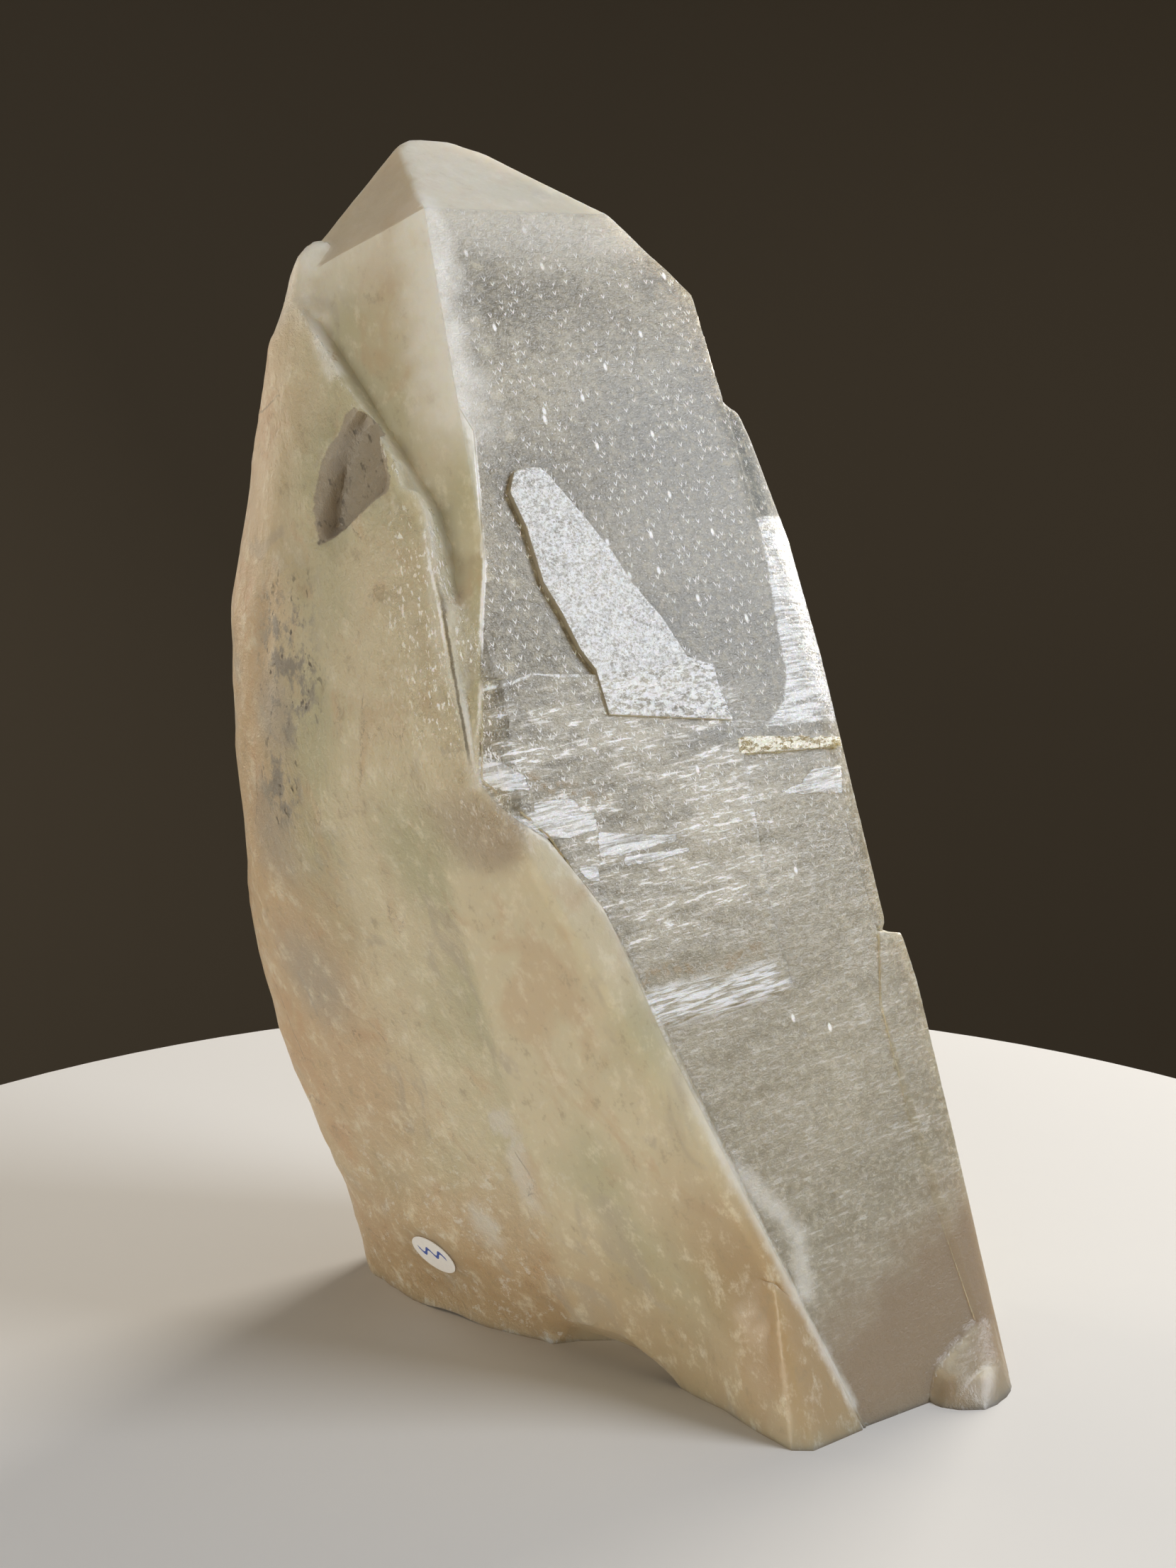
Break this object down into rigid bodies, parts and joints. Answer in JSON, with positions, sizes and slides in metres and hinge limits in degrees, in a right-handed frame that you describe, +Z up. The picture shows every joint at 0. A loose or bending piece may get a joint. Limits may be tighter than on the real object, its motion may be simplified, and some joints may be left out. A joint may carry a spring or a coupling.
{
  "type": "citrine crystal",
  "caption": "Pale milky citrine point standing on its broken base: a hexagonal quartz crystal with a parallel crystal fused along its left flank and a small round label near the floor.",
  "frame": {"origin": "on the floor under the middle of the crystal's bounding box", "axes": "+Z up, the crystal standing on its broken base; the broad flat front face looks towards -Y and a little towards +X, and the tip leans back and to -X"},
  "size_m": [0.116, 0.0976, 0.1806],
  "materials": {
    "citrine": "milky, glossy crystal faces with satin broken flanks",
    "label": "glossy white"
  },
  "bodies": {
    "root": {"crystal": "citrine", "round_label": "label"}
  },
  "joints": []
}
